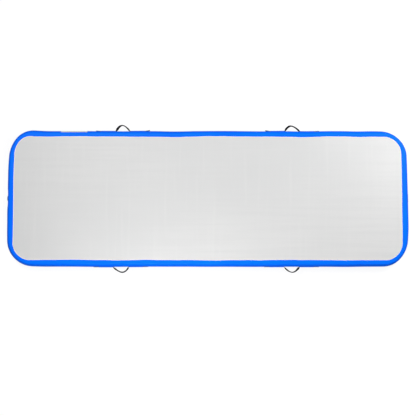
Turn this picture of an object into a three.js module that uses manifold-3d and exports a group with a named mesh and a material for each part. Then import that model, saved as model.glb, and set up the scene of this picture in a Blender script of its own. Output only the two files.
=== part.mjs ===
// An inflatable tumbling mat: two sheets of drop-stitch fabric, a doubled side wall that laps onto
// both of them, four webbing carry handles, a blank label patch and an inflation valve.
// Millimetres, +Z up, +X along the length. The origin is the middle of the underside.
import * as THREE from 'three';
import { mergeVertices } from 'three/addons/utils/BufferGeometryUtils.js';
import Module from 'manifold-3d';

const wasm = await Module();
wasm.setup();
const { degToRad, lerp } = THREE.MathUtils;

// ---- Driving dimensions -----------------------------------------------------------------------------

const LENGTH = 3000; // over the bulging side wall
const WIDTH = 1022;
const HEIGHT = 100;
const BULGE = 20; // how far the wall stands out past the sheets at half height
const CORNER_RADIUS = 195; // seen from above, over the bulge
const CORNER_STEPS = 6;
const SKIN = 1; // one layer of coated fabric
const GAP = 0.3; // left between pieces that touch

const EDGE_RADIUS = 14; // where the wall turns onto the sheets
const EDGE_SLOPE = degToRad(40); // how far the wall leans where that turn starts
const OUTER_LAP = 30.5; // how far the outer strip reaches onto the sheets
const INNER_LAP = 22;
const CORNER_LAP_LOSS = 9; // both laps are this much narrower in the middle of a corner
const SHEET_EDGE = 9; // where a sheet ends, inwards from the wall's root
const SHEET_STEP = [32, 36]; // where a sheet steps up from under the laps to its full height
const TOP_INSET = 0.8; // how far the top sheet lies below its lap; the bottom sheet is level with its own

const YARN = { rows: 7, spacing: 120, legs: 28, pitch: 100, height: 1.7, width: 1.6 };

const WEBBING = { width: 24.5, thickness: 2 };
const PATCH = { near: 58, far: 163, height: degToRad(27), corner: 9 };
const STUB_END = 203; // the webbing's free end, from the middle of its handle
const HINGE_REACH = 34.5; // where a loop flops, outwards from the wall's root
const LOOP_STEPS = 16;
// x: middle; chord and reach: the loop's size; skew: its peak off the middle; tilt: how far its left
// and right flanks lean; lift: how far its left and right free ends stand off the wall.
const HANDLES = [
  { name: 'back_left', side: 1, x: -640, chord: 108, reach: 46, skew: -6, tilt: [30, 18], lift: [2.5, 6.5] },
  { name: 'back_right', side: 1, x: 639, chord: 117, reach: 41, skew: -8, tilt: [32, 14], lift: [6.5, 0.5] },
  { name: 'front_left', side: -1, x: -646, chord: 120, reach: 40, skew: 11, tilt: [14, 30], lift: [0.5, 0] },
  { name: 'front_right', side: -1, x: 625, chord: 117, reach: 41, skew: 5, tilt: [20, 28], lift: [0, 0.5] },
];

const LABEL = { x: -1003, width: 198, low: degToRad(-27), high: degToRad(38), corner: 6 };
const JOINT_COVER = { width: 60, reach: degToRad(60), corner: 8 };

const VALVE_HEIGHT = 45; // its axis above the floor
const VALVE_FLAT = 12; // the wall is pressed flat this far out round the valve
const VALVE_FLAT_SPAN = [35, 55, 75]; // flat to the first, back to full bulge at the last
const ROUND = 24; // sides of a turned valve part
const BARREL = { outer: 18, bore: 14, hole: 18.4 };

// ---- Colours ----------------------------------------------------------------------------------------

const material = (color, roughness) => new THREE.MeshStandardMaterial({ color, roughness, metalness: 0 });
const sheetFabric = () => material('#dcdbd8', 0.55);
const wallFabric = () => material('#0d72fb', 0.4);
const yarnThread = () => material('#f1efe8', 0.9);
const webbing = () => material('#141416', 0.8);
const labelFilm = () => material('#cfcfce', 0.5);
const valvePlastic = () => material('#1552ae', 0.45);
const capPlastic = () => material('#114ba3', 0.4);
const rubber = () => material('#1b1b1c', 0.7);
const springSteel = () => {
  const steel = material('#b9bcc0', 0.3);
  steel.metalness = 1;
  return steel;
};

// ---- Making solids ----------------------------------------------------------------------------------

// Shared vertices, no slivers, and faces that point out.
function closed(geometry) {
  geometry.deleteAttribute('normal');
  geometry.deleteAttribute('uv');
  const merged = mergeVertices(geometry, 1e-4);
  const position = merged.getAttribute('position');
  const corners = [new THREE.Vector3(), new THREE.Vector3(), new THREE.Vector3()];
  const faces = [];
  let volume = 0;
  for (let i = 0; i < merged.index.count; i += 3) {
    const face = [0, 1, 2].map((k) => merged.index.getX(i + k));
    if (new Set(face).size === 3) {
      faces.push(face);
      corners.forEach((corner, k) => corner.fromBufferAttribute(position, face[k]));
      volume += corners[0].dot(corners[1].cross(corners[2]));
    }
  }
  if (volume < 0) faces.forEach((face) => face.reverse());
  merged.setIndex(faces.flat());
  return merged;
}

function toSolid(geometry) {
  const clean = closed(geometry);
  return new wasm.Manifold(new wasm.Mesh({
    numProp: 3,
    vertProperties: new Float32Array(clean.getAttribute('position').array),
    triVerts: new Uint32Array(clean.index.array),
  }));
}

function toGeometry(solid) {
  const mesh = solid.getMesh();
  const geometry = new THREE.BufferGeometry();
  geometry.setAttribute('position', new THREE.BufferAttribute(mesh.vertProperties, 3));
  geometry.setIndex(new THREE.BufferAttribute(mesh.triVerts, 1));
  return geometry;
}

// A skin over sections of equal point count, either joined end to start or with an end cap each side.
// Each four-sided facet is split along its shorter diagonal, so that skins of one shape nest.
function loft(sections, endless = false) {
  const count = sections[0].length;
  const rings = sections.length;
  const points = sections.flat();
  const index = [];
  for (let i = 0; i < (endless ? rings : rings - 1); i += 1) {
    const here = i * count;
    const next = ((i + 1) % rings) * count;
    for (let j = 0; j < count; j += 1) {
      const k = (j + 1) % count;
      const [a, b, c, d] = [here + j, here + k, next + k, next + j];
      const forward = points[a].distanceTo(points[c]) < points[b].distanceTo(points[d]) + 1e-6;
      index.push(...(forward ? [a, b, c, a, c, d] : [a, b, d, b, c, d]));
    }
  }
  if (!endless) {
    const last = (rings - 1) * count;
    for (let j = 1; j < count - 1; j += 1) index.push(0, j + 1, j, last, last + j, last + j + 1);
  }
  const geometry = new THREE.BufferGeometry().setFromPoints(points);
  geometry.setIndex(index);
  return closed(geometry);
}

// A turned part from its closed half outline, given as [radius, height] pairs. Its axis is Z.
function turned(outline, sides = ROUND) {
  const points = [...outline, outline[0]].map(([radius, height]) => new THREE.Vector2(radius, height));
  return closed(new THREE.LatheGeometry(points, sides).rotateX(Math.PI / 2));
}

function washer(inner, outer, low, high) {
  return turned([[inner, low], [outer, low], [outer, high], [inner, high]]);
}

const mat = new THREE.Group();

function add(name, geometry, look, parent = mat) {
  const mesh = new THREE.Mesh(geometry, look);
  mesh.name = name;
  parent.add(mesh);
}

// ---- The wall's cross-section -----------------------------------------------------------------------
// u is the distance outwards from the wall's root, z the height. The wall is one large arc at half
// height and a small arc at each edge; every piece on it uses the same facets, so gaps stay even.

const MIDDLE = HEIGHT / 2;
const BULGE_RADIUS = EDGE_RADIUS + (MIDDLE - EDGE_RADIUS) / Math.sin(EDGE_SLOPE);
const BULGE_CENTRE = BULGE - BULGE_RADIUS;
const EDGE_CENTRE = BULGE_CENTRE + (BULGE_RADIUS - EDGE_RADIUS) * Math.cos(EDGE_SLOPE);
const ROOT_X = LENGTH / 2 - BULGE;
const ROOT_Y = WIDTH / 2 - BULGE;
const ROOT_CORNER = CORNER_RADIUS - BULGE;
const BULGE_FACETS = 6;
const WALL_ANGLES = [
  -Math.PI / 2,
  -(EDGE_SLOPE + Math.PI / 2) / 2,
  ...Array.from({ length: BULGE_FACETS + 1 }, (_, i) => EDGE_SLOPE * ((2 * i) / BULGE_FACETS - 1)),
  (EDGE_SLOPE + Math.PI / 2) / 2,
  Math.PI / 2,
];

function arcPoint(angle, lift) {
  const onEdge = Math.abs(angle) > EDGE_SLOPE + 1e-9;
  const radius = lift + (onEdge ? EDGE_RADIUS : BULGE_RADIUS);
  const centreZ = onEdge ? Math.sign(angle) * (MIDDLE - EDGE_RADIUS) : 0;
  const u = (onEdge ? EDGE_CENTRE : BULGE_CENTRE) + radius * Math.cos(angle);
  return { u, z: MIDDLE + centreZ + radius * Math.sin(angle) };
}

// A point on the faceted wall, lifted off it; flat from 0 to 1 presses the bulge in round the valve.
function wallPoint(angle, lift, flat = 0) {
  const next = Math.max(1, WALL_ANGLES.findIndex((a) => a >= angle - 1e-9));
  const share = (angle - WALL_ANGLES[next - 1]) / (WALL_ANGLES[next] - WALL_ANGLES[next - 1]);
  const a = arcPoint(WALL_ANGLES[next - 1], lift);
  const b = arcPoint(WALL_ANGLES[next], lift);
  const u = lerp(a.u, b.u, share);
  return { u: u - flat * Math.max(0, u - lift - VALVE_FLAT), z: lerp(a.z, b.z, share) };
}

// ---- Sheets, side walls and yarns -------------------------------------------------------------------

// Places round the rim: a point on the wall's root, the way out, how deep in a corner it is (0 to 1)
// and how flat the wall is there.
function rimStations() {
  const stations = [];
  for (let quarter = 0; quarter < 4; quarter += 1) {
    const start = (quarter * Math.PI) / 2;
    const middle = start + Math.PI / 4;
    const x = Math.sign(Math.cos(middle)) * (ROOT_X - ROOT_CORNER);
    const y = Math.sign(Math.sin(middle)) * (ROOT_Y - ROOT_CORNER);
    for (let step = 0; step <= CORNER_STEPS; step += 1) {
      const share = step / CORNER_STEPS;
      const turn = start + (share * Math.PI) / 2;
      const out = new THREE.Vector2(Math.cos(turn), Math.sin(turn));
      const root = new THREE.Vector2(x, y).addScaledVector(out, ROOT_CORNER);
      stations.push({ root, out, corner: Math.sin(share * Math.PI), flat: 0 });
    }
    if (quarter === 1) stations.push(...valveStations());
  }
  return stations;
}

function valveStations() {
  const [flatEnd, half, bulgeStart] = VALVE_FLAT_SPAN;
  const spans = [[bulgeStart, 0], [half, 0.5], [flatEnd, 1], [-flatEnd, 1], [-half, 0.5], [-bulgeStart, 0]];
  const out = new THREE.Vector2(-1, 0);
  return spans.map(([y, flat]) => ({ root: new THREE.Vector2(-ROOT_X, y), out, corner: 0, flat }));
}

const STATIONS = rimStations();

const rimPoint = ({ root, out }, u, z) => new THREE.Vector3(root.x + out.x * u, root.y + out.y * u, z);

// One strip round the rim, its outer face this far below the mat's outer face.
function sideWall(depth, lap) {
  return loft(STATIONS.map((station) => {
    const edge = -(lap - CORNER_LAP_LOSS * station.corner);
    const face = (below) => WALL_ANGLES.map((angle) => wallPoint(angle, -below, station.flat));
    return [
      { u: edge, z: depth },
      ...face(depth),
      { u: edge, z: HEIGHT - depth },
      { u: edge, z: HEIGHT - depth - SKIN },
      ...face(depth + SKIN).reverse(),
      { u: edge, z: depth + SKIN },
    ].map(({ u, z }) => rimPoint(station, u, z));
  }), true);
}

// A sheet, as rings from the middle of its open face round its edge to the middle of its inner face.
function sheet(onTop) {
  const underLaps = 2 * (SKIN + GAP);
  const open = onTop ? TOP_INSET : 0;
  const levels = [
    [SHEET_STEP[1], open],
    [SHEET_STEP[0], underLaps],
    [SHEET_EDGE, underLaps],
    [SHEET_EDGE, underLaps + SKIN],
    [SHEET_STEP[0], underLaps + SKIN],
    [SHEET_STEP[1], open + SKIN],
  ];
  return loft(levels.map(([inset, depth]) => STATIONS.map((station) => {
    const shift = inset === SHEET_EDGE ? 0 : CORNER_LAP_LOSS * station.corner;
    return rimPoint(station, shift - inset, onTop ? HEIGHT - depth : depth);
  })));
}

// One continuous yarn that runs up and down between the sheets along the whole mat.
function yarnRow(y) {
  const low = SKIN + GAP + YARN.height;
  const line = Array.from({ length: YARN.legs + 1 }, (_, i) => new THREE.Vector2(
    (i - YARN.legs / 2) * YARN.pitch,
    i % 2 ? HEIGHT - TOP_INSET - low : low,
  ));
  const shifted = (by) => line.map((point) => new THREE.Vector2(point.x, point.y + by));
  const shape = new THREE.Shape([...shifted(-YARN.height), ...shifted(YARN.height).reverse()]);
  const geometry = new THREE.ExtrudeGeometry(shape, { depth: YARN.width, bevelEnabled: false });
  return closed(geometry.rotateX(Math.PI / 2).translate(0, y + YARN.width / 2, 0));
}

// ---- Pieces glued to the wall -----------------------------------------------------------------------

const onLongSide = (side, x, u, z) => new THREE.Vector3(x, side * (ROOT_Y + u), z);
const onRightEnd = (y, u, z) => new THREE.Vector3(ROOT_X + u, y, z);

// A patch with round corners that follows the wall. place puts (along, u, z) in the mat's frame, and
// lift says how far the patch's inner face stands off the wall at an angle, and extra names the
// angles where that changes.
function wallPatch({ place, from, to, low, high, corner, lift = () => GAP, extra = [] }) {
  const turn = corner / BULGE_RADIUS; // the corner's height as an angle
  const rounding = [0, 0.15, 0.5, 1].map((share) => share * turn);
  const stops = [
    ...rounding.map((step) => low + step),
    ...WALL_ANGLES.filter((angle) => angle > low + turn && angle < high - turn),
    ...extra,
    ...rounding.map((step) => high - step),
  ].filter((angle) => angle >= low && angle <= high);
  const angles = [...new Set(stops.map((angle) => Number(angle.toFixed(6))))].sort((a, b) => a - b);
  return loft(angles.map((angle) => {
    const toEdge = Math.min(angle - low, high - angle, turn) / turn; // 0 at the edge, 1 past the rounding
    const inset = corner * (1 - Math.sqrt(Math.max(0, 1 - (1 - toEdge) ** 2)));
    const inner = wallPoint(angle, lift(angle));
    const outer = wallPoint(angle, lift(angle) + SKIN);
    return [
      place(from + inset, inner.u, inner.z),
      place(to - inset, inner.u, inner.z),
      place(to - inset, outer.u, outer.z),
      place(from + inset, outer.u, outer.z),
    ];
  }));
}

// ---- Carry handles ----------------------------------------------------------------------------------

const STRAP_ANGLE = WEBBING.width / 2 / BULGE_RADIUS; // half of the webbing's width on the wall
const CHANNEL = [STRAP_ANGLE + degToRad(1), STRAP_ANGLE + degToRad(4)]; // a patch rises between these

// How far a holding patch stands off the wall: over the webbing in its middle, on the wall elsewhere.
function patchLift(angle) {
  const rise = THREE.MathUtils.clamp((CHANNEL[1] - Math.abs(angle)) / (CHANNEL[1] - CHANNEL[0]), 0, 1);
  return GAP + rise * (WEBBING.thickness + GAP);
}

// The webbing's middle line in plan, from the left root (t = 0) to the right root (t = 1).
function loopLine(handle, t) {
  const swing = Math.sin(Math.PI * t);
  return {
    x: handle.x + handle.chord * (t - 0.5) + handle.skew * swing,
    u: BULGE + GAP + WEBBING.thickness / 2 + (handle.reach - GAP - WEBBING.thickness / 2) * swing,
  };
}

// Each flank leans by its own tilt, most at its middle.
function loopTilt(handle, t) {
  const flank = t < 0.5 ? 0 : 1;
  const along = THREE.MathUtils.clamp((t - 0.05 - 0.45 * flank) / 0.45, 0, 1);
  return degToRad(handle.tilt[flank]) * Math.sin(Math.PI * along) ** 2;
}

// The t at which a flank of the loop passes the hinge.
function hingeT(handle, end) {
  let low = end < 0 ? 0 : 1;
  let high = 0.5;
  for (let i = 0; i < 40; i += 1) {
    const middle = (low + high) / 2;
    if (loopLine(handle, middle).u < HINGE_REACH) low = middle;
    else high = middle;
  }
  return low;
}

// The webbing's four corners at t. At a cut the section lies in a plane square to X, so that the loop
// can turn about its hinge and stay clear of the fixed stretch.
function webbingSection(handle, t, cutX) {
  const here = loopLine(handle, t);
  const ahead = loopLine(handle, t + 1e-3);
  const run = new THREE.Vector2(ahead.x - here.x, ahead.u - here.u).normalize();
  const tilt = loopTilt(handle, t);
  const half = WEBBING.thickness / 2;
  const out = cutX === undefined
    ? new THREE.Vector2(-run.y, run.x).multiplyScalar(half)
    : new THREE.Vector2(0, half / Math.abs(run.x));
  const lean = new THREE.Vector2(-run.y, run.x).multiplyScalar(Math.sin(tilt) * (WEBBING.width / 2));
  if (cutX !== undefined) lean.set(0, 0);
  const rise = Math.cos(tilt) * (WEBBING.width / 2);
  return [[-1, -1], [1, -1], [1, 1], [-1, 1]].map(([through, up]) => onLongSide(
    handle.side,
    (cutX ?? here.x) + out.x * through + lean.x * up,
    here.u + out.y * through + lean.y * up,
    MIDDLE + rise * up,
  ));
}

function handleLoop(handle) {
  const start = hingeT(handle, -1);
  const finish = hingeT(handle, 1);
  const sections = [];
  for (let i = 0; i <= LOOP_STEPS; i += 1) {
    const t = lerp(start, finish, i / LOOP_STEPS);
    const end = i === 0 ? 1 : i === LOOP_STEPS ? -1 : 0;
    const cutX = end ? loopLine(handle, t).x + (end * GAP) / 2 : undefined;
    sections.push(webbingSection(handle, t, cutX));
  }
  return loft(sections);
}

// One glued-down end of the webbing: its lifted free end, the flat run under a patch, and the bend
// that leads out to the loop's hinge. end is -1 for the left one and 1 for the right one.
function handleStrap(handle, end) {
  const hinge = hingeT(handle, end);
  const root = end < 0 ? 0 : 1;
  const lifted = handle.lift[end < 0 ? 0 : 1];
  const flat = [
    [STUB_END, lifted],
    [lerp(PATCH.far, STUB_END, 0.4), lifted * 0.35],
    [PATCH.far, 0],
    [PATCH.near, 0],
  ];
  const sections = flat.map(([distance, lift]) => {
    const low = wallPoint(-STRAP_ANGLE, GAP + lift);
    const high = wallPoint(STRAP_ANGLE, GAP + lift);
    const lowOut = wallPoint(-STRAP_ANGLE, GAP + lift + WEBBING.thickness);
    const highOut = wallPoint(STRAP_ANGLE, GAP + lift + WEBBING.thickness);
    const reach = wallPoint(0, GAP + lift).u;
    const x = handle.x + end * distance;
    return [
      onLongSide(handle.side, x, low.u, low.z),
      onLongSide(handle.side, x, lowOut.u, lowOut.z),
      onLongSide(handle.side, x, reach + WEBBING.thickness, MIDDLE),
      onLongSide(handle.side, x, highOut.u, highOut.z),
      onLongSide(handle.side, x, high.u, high.z),
      onLongSide(handle.side, x, reach, MIDDLE),
    ];
  });
  const bend = [0.35, 0.7, 1].map((share) => {
    const t = lerp(root, hinge, share);
    const cutX = share === 1 ? loopLine(handle, t).x + (end * GAP) / 2 : undefined;
    const [insideLow, outsideLow, outsideHigh, insideHigh] = webbingSection(handle, t, cutX);
    const between = (a, b) => a.clone().lerp(b, 0.5);
    return [
      insideLow, outsideLow, between(outsideLow, outsideHigh),
      outsideHigh, insideHigh, between(insideLow, insideHigh),
    ];
  });
  return loft([...sections, ...bend]);
}

function addHandle(handle) {
  const name = `handle_${handle.name}`;
  add(`${name}_loop`, handleLoop(handle), webbing());
  for (const [word, end] of [['left', -1], ['right', 1]]) {
    const ends = [handle.x + end * PATCH.near, handle.x + end * PATCH.far].sort((a, b) => a - b);
    add(`${name}_strap_${word}`, handleStrap(handle, end), webbing());
    add(`${name}_patch_${word}`, wallPatch({
      place: (x, u, z) => onLongSide(handle.side, x, u, z),
      from: ends[0],
      to: ends[1],
      low: -PATCH.height,
      high: PATCH.height,
      corner: PATCH.corner,
      lift: patchLift,
      extra: CHANNEL.flatMap((angle) => [-angle, angle]),
    }), wallFabric());
  }
}

// ---- Valve ------------------------------------------------------------------------------------------
// Its own frame: Z points out of the wall with 0 at the wall's root, and Y points down.

const FLANGE = { radius: 25, low: 14.9, high: 18.3, groove: [15.9, 17.5], grooveRadius: 23.4 };
const SEAT = { radius: 9.5, low: -16, high: -13.5 };
const HUB = { radius: 5, bore: 2.6, low: -8, high: -4, arms: 3, armWidth: 2.4 };
const NUT = { radius: 25, low: 1.1, high: 8.1, notches: 6, notchRadius: 3 };
const STEM = { radius: 2.2, rivet: [-20.6, -19.4], rivetRadius: 4, button: [7.5, 10.3], buttonRadius: 6.5 };
const CAP = { radius: 20, low: 18.6, high: 20.8, plug: 13.4, plugLow: 11.6, groove: [13.5, 15.8] };
const CAP_SCALLOPS = { count: 10, radius: 2.4 };
const KNOB = { radius: 3.5, lip: 4.6, lipLow: 22.9, high: 23.6 };
const SPRING = { radius: 4.2, wire: 0.55, turns: 4, low: -3.7, high: 6 };
const TETHER = { width: 5, thickness: 1.4, low: 16.7, high: 21.9, turn: 33 };
const SEAL = { radius: 12.85, wire: 0.85 }; // the cap's round seal, in the plug's groove
const WALL_PATCH_RADIUS = 27.5;
// Hole radius, outer radius, underside and top of each flat ring.
const RINGS = {
  valve_outer_gasket: [BARREL.hole, 24.6, 13.6, 14.6],
  valve_inner_gasket: [BARREL.hole, 24.6, 8.4, 9.4],
  valve_spring_collar: [HUB.bore, 5.6, 6.3, 7.2],
  valve_diaphragm: [HUB.bore, 12.5, -17.8, -16.3],
  valve_backing_washer: [HUB.bore, 8, -19.1, -18.1],
  valve_tether_base_ring: [23.7, 27, 16.2, 17.2],
  valve_tether_cap_ring: [3.9, 7.5, 21.1, 22.5],
};
const TETHER_ENDS = [27.3, 7.8]; // where its strap leaves the two rings

function valveBody() {
  const { radius, low, high, groove, grooveRadius } = FLANGE;
  const barrel = toSolid(turned([
    [SEAT.radius, SEAT.low], [BARREL.outer, SEAT.low], [BARREL.outer, low], [radius, low],
    [radius, groove[0]], [grooveRadius, groove[0]], [grooveRadius, groove[1]], [radius, groove[1]],
    [radius, high], [BARREL.bore, high], [BARREL.bore, SEAT.high], [SEAT.radius, SEAT.high],
  ]));
  const thickness = HUB.high - HUB.low;
  const reach = (HUB.bore + HUB.radius) / 2;
  const armLength = BARREL.bore + 1 - reach;
  let body = barrel.add(toSolid(washer(HUB.bore, HUB.radius, HUB.low, HUB.high)));
  for (let i = 0; i < HUB.arms; i += 1) {
    const arm = new THREE.BoxGeometry(armLength, HUB.armWidth, thickness - 1);
    arm.translate(reach + armLength / 2, 0, (HUB.low + HUB.high) / 2);
    body = body.add(toSolid(arm.rotateZ((2 * Math.PI * i) / HUB.arms)));
  }
  return toGeometry(body);
}

// Cuts round notches into a turned part's rim, evenly spaced.
function notched(geometry, radius, notchRadius, count) {
  let solid = toSolid(geometry);
  for (let i = 0; i < count; i += 1) {
    const cutter = new THREE.CylinderGeometry(notchRadius, notchRadius, 2 * HEIGHT, 8);
    cutter.rotateX(Math.PI / 2).translate(radius + notchRadius * 0.6, 0, 0);
    cutter.rotateZ((2 * Math.PI * (i + 0.5)) / count);
    solid = solid.subtract(toSolid(cutter));
  }
  return toGeometry(solid);
}

function valveCap() {
  const grooveRadius = SEAL.radius - SEAL.wire - GAP;
  const outline = [
    [0, CAP.plugLow], [CAP.plug, CAP.plugLow], [CAP.plug, CAP.groove[0]], [grooveRadius, CAP.groove[0]],
    [grooveRadius, CAP.groove[1]], [CAP.plug, CAP.groove[1]], [CAP.plug, CAP.low], [CAP.radius, CAP.low],
    [CAP.radius, CAP.high - 0.6], [CAP.radius - 0.6, CAP.high], [KNOB.radius, CAP.high],
    [KNOB.radius, KNOB.lipLow], [KNOB.lip, KNOB.lipLow], [KNOB.lip, KNOB.high], [0, KNOB.high],
  ];
  return notched(turned(outline), CAP.radius, CAP_SCALLOPS.radius, CAP_SCALLOPS.count);
}

function valveStem() {
  const { radius, rivet, rivetRadius, button, buttonRadius } = STEM;
  const bevel = 0.8;
  return turned([
    [0, rivet[0]], [rivetRadius, rivet[0]], [rivetRadius, rivet[1]], [radius, rivet[1]],
    [radius, button[0]], [buttonRadius, button[0]], [buttonRadius, button[1] - bevel],
    [buttonRadius - bevel, button[1]], [0, button[1]],
  ], 16);
}

function valveSpring() {
  class Helix extends THREE.Curve {
    getPoint(t) {
      const turn = 2 * Math.PI * SPRING.turns * t;
      const z = lerp(SPRING.low + SPRING.wire, SPRING.high - SPRING.wire, t);
      return new THREE.Vector3(SPRING.radius * Math.cos(turn), SPRING.radius * Math.sin(turn), z);
    }
  }
  const round = new THREE.EllipseCurve(0, 0, SPRING.wire, SPRING.wire);
  const wire = new THREE.Shape(round.getPoints(6).slice(0, -1));
  const path = { steps: 12 * SPRING.turns, extrudePath: new Helix(), bevelEnabled: false };
  return closed(new THREE.ExtrudeGeometry(wire, path));
}

// The tether's strap: out past the flange, round a hairpin and back over the cap to its knob.
function tetherStrap() {
  const radius = (TETHER.high - TETHER.low) / 2;
  const line = [new THREE.Vector2(TETHER_ENDS[0], TETHER.low)];
  for (let i = 0; i <= 6; i += 1) {
    const turn = (i / 6 - 0.5) * Math.PI;
    const centre = new THREE.Vector2(TETHER.turn, TETHER.low + radius);
    line.push(centre.add(new THREE.Vector2(Math.cos(turn), Math.sin(turn)).multiplyScalar(radius)));
  }
  line.push(new THREE.Vector2(TETHER_ENDS[1], TETHER.high));
  return loft(line.map((point, i) => {
    const run = line[Math.min(i + 1, line.length - 1)].clone().sub(line[Math.max(i - 1, 0)]).normalize();
    const out = new THREE.Vector2(-run.y, run.x).multiplyScalar(TETHER.thickness / 2);
    return [[-1, -1], [1, -1], [1, 1], [-1, 1]].map(([across, through]) => new THREE.Vector3(
      (across * TETHER.width) / 2,
      point.x + out.x * through,
      point.y + out.y * through,
    ));
  }));
}

const flatRing = (name) => washer(...RINGS[name]);

function addValve(group) {
  const seal = new THREE.TorusGeometry(SEAL.radius, SEAL.wire, 6, ROUND);
  seal.translate(0, 0, (CAP.groove[0] + CAP.groove[1]) / 2);
  const nutRing = washer(BARREL.outer + GAP, NUT.radius, NUT.low, NUT.high);
  const onWall = VALVE_FLAT + GAP;
  const pieces = [
    ['valve_wall_patch', washer(BARREL.hole, WALL_PATCH_RADIUS, onWall, onWall + SKIN), wallFabric()],
    ['valve_outer_gasket', flatRing('valve_outer_gasket'), rubber()],
    ['valve_body', valveBody(), valvePlastic()],
    ['valve_inner_gasket', flatRing('valve_inner_gasket'), rubber()],
    ['valve_clamp_nut', notched(nutRing, NUT.radius, NUT.notchRadius, NUT.notches), valvePlastic()],
    ['valve_stem', valveStem(), valvePlastic()],
    ['valve_spring_collar', flatRing('valve_spring_collar'), valvePlastic()],
    ['valve_spring', valveSpring(), springSteel()],
    ['valve_diaphragm', flatRing('valve_diaphragm'), rubber()],
    ['valve_backing_washer', flatRing('valve_backing_washer'), valvePlastic()],
    ['valve_cap', valveCap(), capPlastic()],
    ['valve_cap_seal', closed(seal), rubber()],
    ['valve_tether_base_ring', flatRing('valve_tether_base_ring'), rubber()],
    ['valve_tether_strap', tetherStrap(), rubber()],
    ['valve_tether_cap_ring', flatRing('valve_tether_cap_ring'), rubber()],
  ];
  pieces.forEach(([name, geometry, look]) => add(name, geometry, look, group));
}

// The valve sits in the left end's wall.
const valve = new THREE.Group();
valve.position.set(-ROOT_X, 0, VALVE_HEIGHT);
valve.rotation.set(-Math.PI / 2, 0, Math.PI / 2, 'ZYX');
mat.add(valve);

function withValveHole(geometry) {
  const cutter = new THREE.CylinderGeometry(BARREL.hole, BARREL.hole, 2 * BULGE, ROUND);
  cutter.rotateZ(Math.PI / 2).translate(-ROOT_X - BULGE / 2, 0, VALVE_HEIGHT);
  return toGeometry(toSolid(geometry).subtract(toSolid(cutter)));
}

// ---- Assembly ---------------------------------------------------------------------------------------

add('top_sheet', sheet(true), sheetFabric());
add('bottom_sheet', sheet(false), sheetFabric());
add('inner_side_wall', withValveHole(sideWall(SKIN + GAP, INNER_LAP)), wallFabric());
add('outer_side_wall', withValveHole(sideWall(0, OUTER_LAP)), wallFabric());
for (let row = 0; row < YARN.rows; row += 1) {
  add(`drop_stitch_row_${row + 1}`, yarnRow((row - (YARN.rows - 1) / 2) * YARN.spacing), yarnThread());
}
add('side_wall_joint_cover', wallPatch({
  place: onRightEnd,
  from: -JOINT_COVER.width / 2,
  to: JOINT_COVER.width / 2,
  low: -JOINT_COVER.reach,
  high: JOINT_COVER.reach,
  corner: JOINT_COVER.corner,
}), wallFabric());
add('label_patch', wallPatch({
  place: (x, u, z) => onLongSide(1, x, u, z),
  from: LABEL.x - LABEL.width / 2,
  to: LABEL.x + LABEL.width / 2,
  low: LABEL.low,
  high: LABEL.high,
  corner: LABEL.corner,
}), labelFilm());
HANDLES.forEach(addHandle);
addValve(valve);

export default mat;
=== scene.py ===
"""Looks of the air track mat: coated fabrics, webbing handles and an inflation valve round the frame.

Metres. The mat lies on the floor with X along its length, and +Y is its far side. u is the distance
outwards from the side wall's root line, and the wall is one large arc with a small arc at each edge.
"""

import math

import bmesh
import bpy
import numpy as np
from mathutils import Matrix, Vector


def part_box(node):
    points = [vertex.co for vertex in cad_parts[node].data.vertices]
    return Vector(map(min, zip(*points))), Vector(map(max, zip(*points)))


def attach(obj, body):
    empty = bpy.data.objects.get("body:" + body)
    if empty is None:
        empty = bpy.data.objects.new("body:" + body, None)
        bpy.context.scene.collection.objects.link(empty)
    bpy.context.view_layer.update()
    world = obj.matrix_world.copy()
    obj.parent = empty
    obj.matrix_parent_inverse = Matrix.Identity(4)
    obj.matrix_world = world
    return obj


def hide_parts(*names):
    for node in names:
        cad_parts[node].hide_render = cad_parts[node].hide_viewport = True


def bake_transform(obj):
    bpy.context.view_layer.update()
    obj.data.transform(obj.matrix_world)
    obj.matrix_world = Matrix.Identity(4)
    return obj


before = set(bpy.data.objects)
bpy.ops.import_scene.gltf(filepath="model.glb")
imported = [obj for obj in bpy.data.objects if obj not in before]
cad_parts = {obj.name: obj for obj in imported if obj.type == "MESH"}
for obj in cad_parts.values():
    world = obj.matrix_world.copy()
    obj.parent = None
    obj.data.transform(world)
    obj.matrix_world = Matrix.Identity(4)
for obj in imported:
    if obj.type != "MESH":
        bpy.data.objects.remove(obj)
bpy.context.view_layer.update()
MM = 0.001

# ---- Sizes that come from the frame ----

WALL_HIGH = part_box("outer_side_wall")[1]
HEIGHT = WALL_HIGH.z
MIDDLE = HEIGHT / 2
BULGE = 20 * MM
ROOT_X = WALL_HIGH.x - BULGE
ROOT_Y = WALL_HIGH.y - BULGE
ROOT_CORNER = 175 * MM
EDGE_RADIUS = 14 * MM
EDGE_SLOPE = math.radians(40)
BULGE_RADIUS = EDGE_RADIUS + (MIDDLE - EDGE_RADIUS) / math.sin(EDGE_SLOPE)
BULGE_CENTRE = BULGE - BULGE_RADIUS
EDGE_CENTRE = BULGE_CENTRE + (BULGE_RADIUS - EDGE_RADIUS) * math.cos(EDGE_SLOPE)
LAP = 30.5 * MM
CORNER_LAP_LOSS = 9 * MM
SKIN = 0.95 * MM
SHEET_EDGE = 9 * MM
INNER_DEPTH = 1.3 * MM
INNER_SHORTER = 8.5 * MM
TOP_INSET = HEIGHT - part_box("top_sheet")[1].z

VALVE_PATCH_LOW, VALVE_PATCH_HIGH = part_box("valve_wall_patch")
VALVE_Z = (VALVE_PATCH_LOW.z + VALVE_PATCH_HIGH.z) / 2
VALVE_FLAT = 12 * MM
VALVE_FLAT_SPAN = (35 * MM, 75 * MM)
VALVE_SOFT = 2 * MM

# ---- Camera, floor and light ----


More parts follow.
